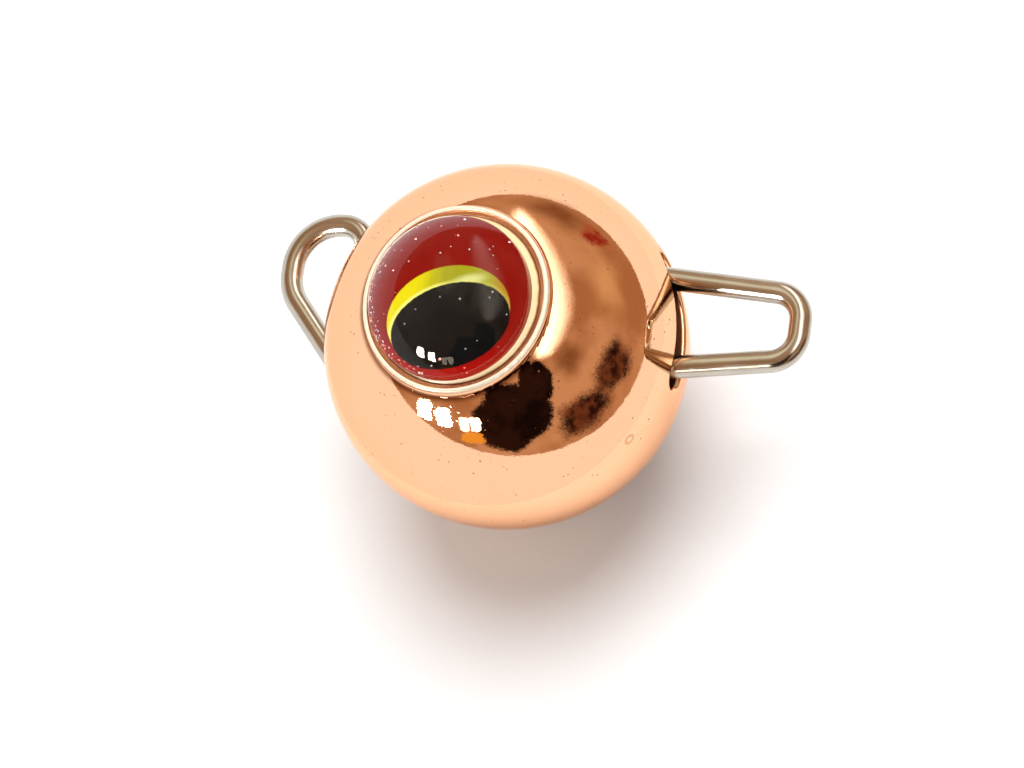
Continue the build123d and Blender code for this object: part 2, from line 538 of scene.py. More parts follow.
def eye_print(settings, groups):
    """Printed eye foil: unprinted rim, red ring, yellow crescent and ragged black pupil"""
    material, tree, shader, _ = new_material("printed_foil")
    chart = add_node(tree, "ShaderNodeUVMap", {"uv_map": "print"})
    spread = add_node(tree, "ShaderNodeMapping", Vector=chart.outputs[0])
    spread.inputs["Location"].default_value = (-0.5 * PRINT_SPAN_MM, -0.5 * PRINT_SPAN_MM, 0.0)
    spread.inputs["Scale"].default_value = (PRINT_SPAN_MM, PRINT_SPAN_MM, 1.0)
    place = spread.outputs[0]
    parts = add_node(tree, "ShaderNodeSeparateXYZ", Vector=place)

    red_disc = use_group(tree, groups["ellipse"], Vector=place, Centre=(0.05, -0.05, 0.0), Long=2.36, Short=2.36, Softness=0.02, Ragged=0.05)
    iris = use_group(tree, groups["ellipse"], Vector=place, Centre=(0.06, -0.54, 0.0), Long=1.66, Short=1.31, Turn=0.31, Softness=0.015, Ragged=0.03)
    pupil = use_group(tree, groups["ellipse"], Vector=place, Centre=(0.13, -0.78, 0.0), Long=1.63, Short=1.12, Turn=0.33, Softness=0.012, Ragged=0.05)

    cloud = noise_of(tree, place, 1.4, 4.0, 0.6)
    red = blend_colour(tree, cloud, settings.red, tuple(c * k for c, k in zip(settings.red, (1.5, 2.2, 1.5))))
    grain = noise_of(tree, place, 22.0, 3.0, 0.7)
    # painted light: the red ring is lighter towards the bottom of the eye
    painted_lit_red = tuple(c * 1.9 for c in settings.red)
    red = blend_colour(tree, between(tree, parts.outputs["Y"], -2.2, -0.6, 1.0, 0.0), red, painted_lit_red)
    red = blend_colour(tree, between(tree, grain, 0.62, 0.75, 0.0, 0.22), red, (0.50, 0.04, 0.02))

    rays = add_node(tree, "ShaderNodeMapping", Vector=place)
    rays.inputs["Scale"].default_value = (3.0, 0.5, 1.0)
    ray_noise = noise_of(tree, rays.outputs[0], 1.6, 2.0, 0.5)
    greener = between(tree, maths(tree, "MULTIPLY_ADD", ray_noise, 0.5, parts.outputs["X"]), -0.75, 0.25)
    olive = (0.32, 0.295, 0.010)
    yellow = blend_colour(tree, greener, settings.yellow, olive)
    yellow = blend_colour(tree, between(tree, parts.outputs["X"], 0.9, 1.4), yellow, (0.36, 0.18, 0.005))
    # painted highlight: a pale patch on the crescent stands for a faint reflection of an overhead light
    glow = use_group(tree, groups["ellipse"], Vector=place, Centre=(0.45, 0.46, 0.0), Long=0.36, Short=0.12, Turn=0.25, Softness=0.08)
    yellow = blend_colour(tree, maths(tree, "MULTIPLY", glow.outputs["Mask"], 0.75), yellow, (0.70, 0.69, 0.26))
    pale_line = between(tree, pupil.outputs["Distance"], 0.02, 0.10, 0.85, 0.0)
    left_part = between(tree, parts.outputs["X"], -0.5, 0.3, 1.0, 0.2)
    yellow = blend_colour(tree, maths(tree, "MULTIPLY", pale_line, left_part), yellow, (0.84, 0.80, 0.20))

    ink = blend_colour(tree, noise_of(tree, place, 1.8, 3.0, 0.6), (0.0012, 0.001, 0.001), (0.004, 0.0035, 0.003))
    # painted reflection: the black pupil is lightened in a soft patch towards its top
    painted_sheen = use_group(tree, groups["ellipse"], Vector=place, Centre=(0.42, 0.10, 0.0), Long=0.95, Short=0.30, Turn=-0.35, Softness=0.28)
    ink = blend_colour(tree, maths(tree, "MULTIPLY", painted_sheen.outputs["Mask"], 0.25), ink, (0.035, 0.032, 0.026))
    tick = use_group(tree, groups["ellipse"], Vector=place, Centre=(0.48, -0.05, 0.0), Long=0.26, Short=0.09, Turn=1.5, Softness=0.07)
    ink = blend_colour(tree, tick.outputs["Mask"], ink, (0.003, 0.003, 0.003))

    bare = blend_colour(tree, noise_of(tree, place, 3.0, 3.0, 0.6), (0.90, 0.86, 0.66), (0.80, 0.70, 0.50))
    colour = blend_colour(tree, red_disc.outputs["Mask"], bare, red)
    colour = blend_colour(tree, iris.outputs["Mask"], colour, yellow)
    colour = blend_colour(tree, pupil.outputs["Mask"], colour, ink)
    plug(tree, shader, "Base Color", colour)
    shader.inputs["Metallic"].default_value = 0.0
    shader.inputs["Specular IOR Level"].default_value = 0.04
    plug(tree, shader, "Roughness", between(tree, cloud, 0.3, 0.7, 0.34, 0.5))
    bump = add_node(tree, "ShaderNodeBump", Strength=0.3, Distance=0.006 * MM, Height=grain)
    tree.links.new(bump.outputs[0], shader.inputs["Normal"])
    return material


def clear_resin(groups):
    """Clear cast resin that lets lamp light through, with faint flow waves"""
    material, tree, shader, output = new_material("cast_resin")
    shader.inputs["Base Color"].default_value = (1.0, 1.0, 1.0, 1.0)
    shader.inputs["Transmission Weight"].default_value = 1.0
    shader.inputs["IOR"].default_value = 1.5
    shader.inputs["Specular IOR Level"].default_value = 0.1
    shader.inputs["Specular Tint"].default_value = (0.42, 0.36, 0.30, 1.0)
    place = object_place(tree)
    haze = use_group(tree, groups["specks"], Vector=place, Spacing=0.5, Size=0.08, Share=0.3)
    plug(tree, shader, "Roughness", maths(tree, "MULTIPLY", haze.outputs["Mask"], 0.25))
    flow = use_group(tree, groups["ripple"], Vector=place, Wave=0.6, Peel=3.0, Peel_Share=0.12)
    bump = add_node(tree, "ShaderNodeBump", Strength=0.25, Distance=0.01 * MM, Height=flow.outputs["Height"])
    tree.links.new(bump.outputs[0], shader.inputs["Normal"])
    path = tree.nodes.new("ShaderNodeLightPath")
    open_way = maths(tree, "MAXIMUM", path.outputs["Is Shadow Ray"], path.outputs["Is Diffuse Ray"])
    clear = tree.nodes.new("ShaderNodeBsdfTransparent")
    mixed = tree.nodes.new("ShaderNodeMixShader")
    tree.links.new(open_way, mixed.inputs[0])
    tree.links.new(shader.outputs[0], mixed.inputs[1])
    tree.links.new(clear.outputs[0], mixed.inputs[2])
    tree.links.new(mixed.outputs[0], output.inputs["Surface"])
    return material


def pale_glue(settings, rim_mm, groups):
    """Cured cream glue with dirt specks, and painted shade in the gap along its outer edge"""
    material, tree, shader, _ = new_material("cream_glue")
    place = object_place(tree)
    lumps = noise_of(tree, place, 4.0, 4.0, 0.6)
    dirt = use_group(tree, groups["specks"], Vector=place, Spacing=0.30, Size=0.16, Share=0.3)
    colour = blend_colour(tree, lumps, settings.glue, tuple(c * k for c, k in zip(settings.glue, (0.94, 0.88, 0.78))))
    colour = blend_colour(tree, maths(tree, "MULTIPLY", dirt.outputs["Mask"], 0.4), colour, (0.35, 0.20, 0.10))
    parts = add_node(tree, "ShaderNodeSeparateXYZ", Vector=place)
    flat = add_node(tree, "ShaderNodeCombineXYZ", X=parts.outputs["X"], Y=parts.outputs["Y"])
    from_axis = maths(tree, "MULTIPLY_ADD", lumps, 0.06, vector_maths(tree, "LENGTH", flat.outputs[0]))
    # painted shade: a dark brown line along the glue's outer edge, for the shade in the gap next to the ring
    gap_shade = between(tree, from_axis, rim_mm, rim_mm + 0.05)
    colour = blend_colour(tree, maths(tree, "MULTIPLY", gap_shade, 0.92), colour, (0.27, 0.085, 0.035))
    plug(tree, shader, "Base Color", colour)
    plug(tree, shader, "Roughness", between(tree, lumps, 0.3, 0.7, 0.25, 0.45))
    bump = add_node(tree, "ShaderNodeBump", Strength=0.5, Distance=0.02 * MM, Height=lumps)
    tree.links.new(bump.outputs[0], shader.inputs["Normal"])
    return material


def glitter_foil():
    """Bright pink-silver flecks, each a slightly different tone"""
    material, tree, shader, _ = new_material("glitter_foil")
    place = object_place(tree)
    tone = noise_of(tree, place, 6.0, 2.0, 0.5)
    plug(tree, shader, "Base Color", blend_colour(tree, between(tree, tone, 0.4, 0.6), (1.0, 0.25, 0.18), (1.0, 0.85, 0.80)))
    shader.inputs["Metallic"].default_value = 0.6
    plug(tree, shader, "Roughness", between(tree, tone, 0.3, 0.7, 0.15, 0.35))
    return material


def air_bubble():
    """Small air bubbles, which read as silvery white dots"""
    material, tree, shader, _ = new_material("air_bubble")
    place = object_place(tree)
    tone = noise_of(tree, place, 5.0, 2.0, 0.5)
    plug(tree, shader, "Base Color", blend_colour(tree, tone, (0.80, 0.80, 0.78), (0.55, 0.53, 0.50)))
    shader.inputs["Metallic"].default_value = 0.3
    plug(tree, shader, "Roughness", between(tree, tone, 0.3, 0.7, 0.1, 0.3))
    return material


def finish_of(name):
    """The finished material of that name"""
    return bpy.data.materials[name]


# ---------------------------------------------------------------- mesh helpers

def link_mesh(name, verts, faces, material_name):
    """A new mesh object at the origin, with outward smooth faces and its finish"""
    mesh = bpy.data.meshes.new(name)
    mesh.from_pydata(verts, [], faces)
    mesh.validate()
    mesh.polygons.foreach_set("use_smooth", [True] * len(mesh.polygons))
    mesh.materials.append(finish_of(material_name))
    made = bpy.data.objects.new(name, mesh)
    bpy.context.scene.collection.objects.link(made)
    return made


def lathe(name, rows, side, segments, material_name):
    """A closed shape from rows of (radius function, height function); the first and last rows are poles

    side -1 gives the same shape turned half a turn about the X axis, for the lower eye.
    """
    verts = []
    faces = []
    body_rows = rows[1:-1]
    first_pole = rows[0]
    last_pole = rows[-1]
    for place_at in body_rows:
        for step in range(segments):
            verts.append(place_at(2.0 * math.pi * step / segments))
    for row in range(len(body_rows) - 1):
        for step in range(segments):
            a = row * segments + step
            b = row * segments + (step + 1) % segments
            faces.append((a, b, b + segments, a + segments))
    bottom = len(verts)
    verts.append(first_pole(0.0))
    top = len(verts)
    verts.append(last_pole(0.0))
    last = (len(body_rows) - 1) * segments
    for step in range(segments):
        after = (step + 1) % segments
        faces.append((bottom, after, step))
        faces.append((top, last + step, last + after))
    turned = [(x, y * side, z * side) for x, y, z in verts]
    return link_mesh(name, turned, faces, material_name)


def ring_row(centre, radius, height):
    """A row of a lathe: a round at that height, about that centre"""
    def place_at(angle):
        return (centre[0] + radius * math.cos(angle), centre[1] + radius * math.sin(angle), height)
    return place_at


def eye_box(part, side_name):
    """Centre, radius and heights of an eye part in the upper eye's own place"""
    low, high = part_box(f"eye_{part}_{side_name}")
    side = 1.0 if side_name == "upper" else -1.0
    centre = ((low.x + high.x) / 2.0, side * (low.y + high.y) / 2.0)
    radius = (high.x - low.x) / 2.0
    heights = sorted((side * low.z, side * high.z))
    return centre, radius, heights[0], heights[1]


def keep_sharp(obj, angle_degrees):
    """Marks the edges sharper than that angle, so that smooth shading stops at them"""
    obj.data.set_sharp_from_angle(angle=math.radians(angle_degrees))


def weld(mesh):
    """Joins the doubled points of a mesh, so that its faces share them"""
    work = bmesh.new()
    work.from_mesh(mesh)
    bmesh.ops.remove_doubles(work, verts=work.verts, dist=0.0005 * MM)
    work.to_mesh(mesh)
    work.free()
    mesh.polygons.foreach_set("use_smooth", [True] * len(mesh.polygons))


def true_round(mesh, radius):
    """Shades the faces that lie on the ball's round as a true round"""
    normals = [Vector(corner.vector) for corner in mesh.corner_normals]
    for face in mesh.polygons:
        on_round = all(abs(mesh.vertices[v].co.length - radius) < 0.004 * MM for v in face.vertices)
        if not on_round or face.normal.dot(face.center.normalized()) < 0.98:
            continue
        for corner in face.loop_indices:
            normals[corner] = mesh.vertices[mesh.loops[corner].vertex_index].co.normalized()
    mesh.normals_split_custom_set(normals)


def settle(obj, body, nodes):
    """Gives a finished piece its body and the CAD nodes it stands for"""
    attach(obj, body)
    if nodes:
        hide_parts(*nodes)


# ---------------------------------------------------------------- Geometry Nodes helpers

def new_node_tree(name, inputs):
    """An empty Geometry Nodes tree with a geometry in and out; inputs are (name, type, default)"""
    tree = bpy.data.node_groups.new(name, "GeometryNodeTree")
    tree.is_modifier = True
    tree.interface.new_socket("Geometry", in_out="INPUT", socket_type="NodeSocketGeometry")
    for label, kind, default in inputs:
        made = tree.interface.new_socket(label, in_out="INPUT", socket_type=kind)
        made.default_value = default
    tree.interface.new_socket("Geometry", in_out="OUTPUT", socket_type="NodeSocketGeometry")
    return tree, tree.nodes.new("NodeGroupInput"), tree.nodes.new("NodeGroupOutput")


def bake_nodes(obj, tree, values):
    """Runs the tree on the object with these input values and leaves a plain mesh"""
    modifier = obj.modifiers.new(tree.name, "NODES")
    modifier.node_group = tree
    for item in tree.interface.items_tree:
        if item.item_type == "SOCKET" and item.in_out == "INPUT" and item.name in values:
            modifier[item.identifier] = values[item.name]
    bpy.context.view_layer.update()
    graph = bpy.context.evaluated_depsgraph_get()
    made = bpy.data.meshes.new_from_object(obj.evaluated_get(graph))
    if not made.polygons:
        raise RuntimeError(f"{tree.name} made no faces for {obj.name}")
    obj.modifiers.remove(modifier)
    finish = made.materials[-1]
    made.materials.clear()
    made.materials.append(finish)
    made.polygons.foreach_set("material_index", [0] * len(made.polygons))
    obj.data = made
    obj.data.name = obj.name
    return obj


def store(tree, geometry, name, value, kind="FLOAT"):
    """Stores a value on the geometry's points under a name"""
    node = tree.nodes.new("GeometryNodeStoreNamedAttribute")
    node.data_type = kind
    node.domain = "POINT"
    node.inputs["Name"].default_value = name
    tree.links.new(geometry, node.inputs["Geometry"])
    tree.links.new(value, node.inputs["Value"])
    return node.outputs["Geometry"]


def wire_tree(material):
    """A path with a bend radius at each corner becomes a round wire with eased ends"""
    tree, source, sink = new_node_tree(
        "bent_wire",
        [
            ("Diameter", "NodeSocketFloat", 0.7 * MM),
            ("Sides", "NodeSocketInt", 24),
            ("Bend Steps", "NodeSocketInt", 16),
            ("End Ease", "NodeSocketFloat", 0.72),
        ],
    )
    curve = tree.nodes.new("GeometryNodeMeshToCurve")
    tree.links.new(source.outputs["Geometry"], curve.inputs["Mesh"])
    bend = add_node(tree, "GeometryNodeInputNamedAttribute", {"data_type": "FLOAT"}, Name="bend_radius")
    fillet = tree.nodes.new("GeometryNodeFilletCurve")
    if "Mode" in fillet.inputs:
        fillet.inputs["Mode"].default_value = "Poly"
    else:
        fillet.mode = "POLY"
    tree.links.new(curve.outputs[0], fillet.inputs["Curve"])
    tree.links.new(bend.outputs[0], fillet.inputs["Radius"])
    tree.links.new(source.outputs["Bend Steps"], fillet.inputs["Count"])
    ends = tree.nodes.new("GeometryNodeCurveEndpointSelection")
    eased = tree.nodes.new("GeometryNodeSwitch")
    eased.input_type = "FLOAT"
    eased.inputs["False"].default_value = 1.0
    tree.links.new(ends.outputs[0], eased.inputs["Switch"])
    tree.links.new(source.outputs["End Ease"], eased.inputs["True"])
    radius = tree.nodes.new("GeometryNodeSetCurveRadius")
    tree.links.new(fillet.outputs[0], radius.inputs["Curve"])
    tree.links.new(eased.outputs[0], radius.inputs["Radius"])
    length = tree.nodes.new("GeometryNodeSplineParameter")
    path = store(tree, radius.outputs[0], "along", length.outputs["Length"])

    half = maths(tree, "MULTIPLY", source.outputs["Diameter"], 0.5)
    section = tree.nodes.new("GeometryNodeCurvePrimitiveCircle")
    tree.links.new(source.outputs["Sides"], section.inputs["Resolution"])
    tree.links.new(half, section.inputs["Radius"])
    spot = tree.nodes.new("GeometryNodeInputPosition")
    unit = vector_maths(tree, "SCALE", spot.outputs[0], scale=maths(tree, "DIVIDE", 1.0, half))
    profile = store(tree, section.outputs[0], "around", unit, "FLOAT_VECTOR")

    tube = tree.nodes.new("GeometryNodeCurveToMesh")
    tube.inputs["Fill Caps"].default_value = True
    tree.links.new(path, tube.inputs["Curve"])
    tree.links.new(profile, tube.inputs["Profile Curve"])
    if "Scale" in tube.inputs:
        own_radius = tree.nodes.new("GeometryNodeInputRadius")
        tree.links.new(own_radius.outputs[0], tube.inputs["Scale"])
    smooth = tree.nodes.new("GeometryNodeSetShadeSmooth")
    tree.links.new(tube.outputs[0], smooth.inputs[0])
    real = tree.nodes.new("GeometryNodeRealizeInstances")
    tree.links.new(smooth.outputs[0], real.inputs[0])
    coat = tree.nodes.new("GeometryNodeSetMaterial")
    coat.inputs["Material"].default_value = material
    tree.links.new(real.outputs[0], coat.inputs["Geometry"])
    tree.links.new(coat.outputs[0], sink.inputs["Geometry"])
    return tree


def scatter_tree(name, material, shape):
    """Spreads small copies of a shape over a surface, denser where its share is higher"""
    tree, source, sink = new_node_tree(
        name,
        [
            ("Density", "NodeSocketFloat", 1.0),
            ("Smallest", "NodeSocketFloat", 0.02 * MM),
            ("Largest", "NodeSocketFloat", 0.05 * MM),
            ("Tilt", "NodeSocketFloat", 0.5),
            ("Lift", "NodeSocketFloat", 0.0),
            ("Seed", "NodeSocketInt", 3),
        ],
    )
    share = add_node(tree, "GeometryNodeInputNamedAttribute", {"data_type": "FLOAT"}, Name="share")
    points = tree.nodes.new("GeometryNodeDistributePointsOnFaces")
    points.distribute_method = "RANDOM"
    tree.links.new(source.outputs["Geometry"], points.inputs["Mesh"])
    tree.links.new(maths(tree, "MULTIPLY", share.outputs[0], source.outputs["Density"]), points.inputs["Density"])
    tree.links.new(source.outputs["Seed"], points.inputs["Seed"])

    lift = tree.nodes.new("GeometryNodeSetPosition")
    lift_range = add_node(tree, "FunctionNodeRandomValue", {"data_type": "FLOAT"})
    tree.links.new(source.outputs["Lift"], lift_range.inputs[3])
    tree.links.new(maths(tree, "ADD", source.outputs["Seed"], 11.0), lift_range.inputs["Seed"])
    normal_out = points.outputs["Normal"]
    raise_by = vector_maths(tree, "SCALE", normal_out, scale=lift_range.outputs[1])
    tree.links.new(points.outputs["Points"], lift.inputs["Geometry"])
    tree.links.new(raise_by, lift.inputs["Offset"])

    if shape == "fleck":
        solid = tree.nodes.new("GeometryNodeMeshCylinder")
        solid.inputs["Vertices"].default_value = 6
        solid.inputs["Radius"].default_value = 1.0
        solid.inputs["Depth"].default_value = 0.25
    else:
        solid = tree.nodes.new("GeometryNodeMeshIcoSphere")
        solid.inputs["Radius"].default_value = 1.0
        solid.inputs["Subdivisions"].default_value = 2
    size = add_node(tree, "FunctionNodeRandomValue", {"data_type": "FLOAT"})
    tree.links.new(source.outputs["Smallest"], size.inputs[2])
    tree.links.new(source.outputs["Largest"], size.inputs[3])
    tree.links.new(maths(tree, "ADD", source.outputs["Seed"], 5.0), size.inputs["Seed"])
    turn = add_node(tree, "FunctionNodeRandomValue", {"data_type": "FLOAT_VECTOR"})
    tilt = tree.nodes.new("ShaderNodeCombineXYZ")
    tree.links.new(source.outputs["Tilt"], tilt.inputs["X"])
    tree.links.new(source.outputs["Tilt"], tilt.inputs["Y"])
    tilt.inputs["Z"].default_value = 3.1
    tree.links.new(vector_maths(tree, "SCALE", tilt.outputs[0], scale=-1.0), turn.inputs[0])
    tree.links.new(tilt.outputs[0], turn.inputs[1])
    tree.links.new(maths(tree, "ADD", source.outputs["Seed"], 8.0), turn.inputs["Seed"])

    copies = tree.nodes.new("GeometryNodeInstanceOnPoints")
    tree.links.new(lift.outputs[0], copies.inputs["Points"])
    tree.links.new(solid.outputs[0], copies.inputs["Instance"])
    tree.links.new(turn.outputs[0], copies.inputs["Rotation"])
    tree.links.new(size.outputs[1], copies.inputs["Scale"])
    real = tree.nodes.new("GeometryNodeRealizeInstances")
    tree.links.new(copies.outputs[0], real.inputs[0])
    coat = tree.nodes.new("GeometryNodeSetMaterial")
    coat.inputs["Material"].default_value = material
    tree.links.new(real.outputs[0], coat.inputs["Geometry"])
    tree.links.new(coat.outputs[0], sink.inputs["Geometry"])
    return tree


def scatter_bed(name, bands, share_at):
    """Flat rounds in both eyes to scatter on: bands are (centre, inner radius, outer radius, height)"""
    verts = []
    faces = []
    shares = []
    segments = 48
    steps = 6
    for side_name, side in EYE_SIDES:
        centre, inner, outer, height = bands(side_name)
        start = len(verts)
        for ring in range(steps + 1):
            radius = inner + (outer - inner) * ring / steps
            for step in range(segments):
                angle = 2.0 * math.pi * step / segments
                verts.append((centre[0] + radius * math.cos(angle), side * (centre[1] + radius * math.sin(angle)), side * height))
                shares.append(share_at(radius, angle))
        for ring in range(steps):
            for step in range(segments):
                a = start + ring * segments + step
                b = start + ring * segments + (step + 1) % segments
                faces.append((a, a + segments, b + segments, b))
    bed = link_mesh(name, verts, faces, "glitter_foil")
    share = bed.data.attributes.new("share", "FLOAT", "POINT")
    share.data.foreach_set("value", shares)
    return bed


# ---------------------------------------------------------------- operators

class JIGHEAD_OT_mix_finishes(bpy.types.Operator):
    """Mix the finishes for plating, wire, print, resin and glue"""

    bl_idname = "jighead.mix_finishes"
    bl_label = "Mix finishes"

    def execute(self, context):
        scene = context.scene
        groups = {"specks": speck_group(), "ellipse": ellipse_group(), "ripple": ripple_group()}
        _, eye_radius, _, _ = eye_box("film", "upper")
        copper_plate(scene.jighead_plate, eye_radius / MM, groups)
        spring_wire(scene.jighead_wire, groups)
        eye_print(scene.jighead_eye, groups)
        clear_resin(groups)
        pale_glue(scene.jighead_eye, eye_radius / MM + 0.085, groups)
        glitter_foil()
        air_bubble()
        return {"FINISHED"}


class JIGHEAD_OT_plate_ball(bpy.types.Operator):
    """Plate the ball with bright copper"""

    bl_idname = "jighead.plate_ball"
    bl_label = "Plate ball"

    def execute(self, context):
        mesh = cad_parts["ball_body"].data.copy()
        mesh.name = "plated_ball"
        mesh.materials.clear()
        mesh.materials.append(finish_of("plated_copper"))
        ball = bpy.data.objects.new("plated_ball", mesh)
        context.scene.collection.objects.link(ball)
        weld(mesh)
        keep_sharp(ball, 32.0)
        true_round(mesh, BALL_RADIUS)
        settle(ball, "ball", ["ball_body"])
        return {"FINISHED"}


class JIGHEAD_OT_bend_wire(bpy.types.Operator):
    """Bend the wire clip along its path"""

    bl_idname = "jighead.bend_wire"
    bl_label = "Bend wire"

    def execute(self, context):
        wire = context.scene.jighead_wire
        corners = (
            ((-2.675, 1.897), 0.0),
            ((-2.645, 1.949), 0.0),
            ((-2.2, 2.72), 0.5),
            ((0.5, 2.72), 6.0),
            ((9.16, 1.87), 0.87),
            ((9.16, -0.13), 0.87),
            ((2.6, -0.73), 6.0),
            ((-5.40, -0.73), 0.6),
            ((-7.28, 1.559), 1.5),
            ((-7.28, 3.70), 1.4),
            ((-5.156, 3.70), 0.8),
            ((-4.607, 1.608), 0.0),
            ((-4.592, 1.55), 0.0),
        )
        mesh = bpy.data.meshes.new("wire_path")
        points = [(x * MM, y * MM, 0.0) for (x, y), _ in corners]
        mesh.from_pydata(points, [(i, i + 1) for i in range(len(points) - 1)], [])
        bend = mesh.attributes.new("bend_radius", "FLOAT", "POINT")
        bend.data.foreach_set("value", [radius * MM for _, radius in corners])
        clip = bpy.data.objects.new("sliding_wire_clip", mesh)
        context.scene.collection.objects.link(clip)
        values = {"Diameter": wire.diameter, "Sides": wire.sides, "Bend Steps": wire.bend_steps, "End Ease": 0.72}
        bake_nodes(clip, wire_tree(finish_of("drawn_steel")), values)
        keep_sharp(clip, 50.0)
        settle(clip, "clip", ["wire_clip"])
        return {"FINISHED"}


class JIGHEAD_OT_print_eyes(bpy.types.Operator):
    """Cut and print the two eye foils"""

    bl_idname = "jighead.print_eyes"
    bl_label = "Print eyes"

    def execute(self, context):
        for side_name, side in EYE_SIDES:
            centre, radius, low, high = eye_box("film", side_name)
            radius -= 0.01 * MM
            high += 0.01 * MM
            rows = [ring_row(centre, 0.0, low), ring_row(centre, radius * 0.5, low), ring_row(centre, radius, low)]
            rows.append(ring_row(centre, radius, high))
            for share in (0.96, 0.85, 0.65, 0.4, 0.2):
                rows.append(ring_row(centre, radius * share, high))
            rows.append(ring_row(centre, 0.0, high))
            foil = lathe(f"printed_foil_{side_name}", rows, side, 128, "printed_foil")
            chart = foil.data.uv_layers.new(name="print")
            span = PRINT_SPAN_MM * MM
            for loop in foil.data.loops:
                spot = foil.data.vertices[loop.vertex_index].co
                chart.data[loop.index].uv = ((spot.x - centre[0]) / span + 0.5, (side * spot.y - centre[1]) / span + 0.5)
            keep_sharp(foil, 40.0)
            settle(foil, "ball", [f"eye_film_{side_name}"])
        return {"FINISHED"}


class JIGHEAD_OT_glue_eyes(bpy.types.Operator):
    """Fill each socket with glue that is squeezed up round the eye"""

    bl_idname = "jighead.glue_eyes"
    bl_label = "Glue eyes"

    def execute(self, context):
        for side_name, side in EYE_SIDES:
            _, outer, low, high = eye_box("adhesive", side_name)
            centre, eye_radius, eye_low, eye_high = eye_box("film", side_name)
            wall = eye_radius - 0.004 * MM

            def lip(share, lift):
                def place_at(angle):
                    inner_x = centre[0] + wall * math.cos(angle)
                    inner_y = centre[1] + wall * math.sin(angle)
                    outer_x = outer * math.cos(angle)
                    outer_y = outer * math.sin(angle)
                    uneven = 1.0 + 0.22 * math.sin(3.0 * angle + 0.6) + 0.14 * math.sin(7.0 * angle + 2.0)
                    uneven *= 0.2 + 0.8 * max(0.0, (math.cos(angle - 0.3) + 0.5) / 1.5) ** 0.6
                    x = inner_x + (outer_x - inner_x) * share
                    y = inner_y + (outer_y - inner_y) * share
                    return (x, y, high + lift * uneven)
                return place_at

            rows = [ring_row((0.0, 0.0), 0.0, low), ring_row((0.0, 0.0), outer * 0.6, low), ring_row((0.0, 0.0), outer, low)]
            rows.append(ring_row((0.0, 0.0), outer, high - 0.04 * MM))
            for share, lift in ((0.97, -0.01), (0.85, 0.02), (0.65, 0.045), (0.45, 0.065), (0.25, 0.085), (0.1, 0.10), (0.0, 0.105)):
                rows.append(lip(share, lift * MM))
            rows.append(ring_row(centre, wall, eye_low))
            rows.append(ring_row(centre, wall * 0.5, eye_low))
            rows.append(ring_row(centre, 0.0, eye_low))
            glue = lathe(f"squeezed_glue_{side_name}", rows, side, 128, "cream_glue")
            keep_sharp(glue, 50.0)
            settle(glue, "ball", [f"eye_adhesive_{side_name}"])
        return {"FINISHED"}


class JIGHEAD_OT_cast_domes(bpy.types.Operator):
    """Cast the clear resin domes over the eyes"""

    bl_idname = "jighead.cast_domes"
    bl_label = "Cast domes"

    def execute(self, context):
        eye = context.scene.jighead_eye
        for side_name, side in EYE_SIDES:
            centre, radius, low, high = eye_box("dome", side_name)
            crown_centre = high - eye.crown_radius
            inner = radius - eye.edge_round
            fillet_height = crown_centre + math.sqrt((eye.crown_radius - eye.edge_round) ** 2 - inner ** 2)
            tangent = math.atan2(fillet_height - crown_centre, inner)
            rows = [ring_row(centre, 0.0, low), ring_row(centre, radius * 0.5, low)]
            rows.append(ring_row(centre, radius - 0.01 * MM, low))
            rows.append(ring_row(centre, radius, low + 0.01 * MM))
            rows.append(ring_row(centre, radius, (low + fillet_height) / 2.0))
            for step in range(9):
                angle = tangent * step / 8
                rows.append(ring_row(centre, inner + eye.edge_round * math.cos(angle), fillet_height + eye.edge_round * math.sin(angle)))
            crown_steps = 40
            for step in range(1, crown_steps):
                angle = tangent + (math.pi / 2.0 - tangent) * step / crown_steps
                rows.append(ring_row(centre, eye.crown_radius * math.cos(angle), crown_centre + eye.crown_radius * math.sin(angle)))
            rows.append(ring_row(centre, 0.0, high))
            dome = lathe(f"resin_dome_{side_name}", rows, side, 160, "cast_resin")
            keep_sharp(dome, 35.0)
            settle(dome, "ball", [f"eye_dome_{side_name}"])
        return {"FINISHED"}


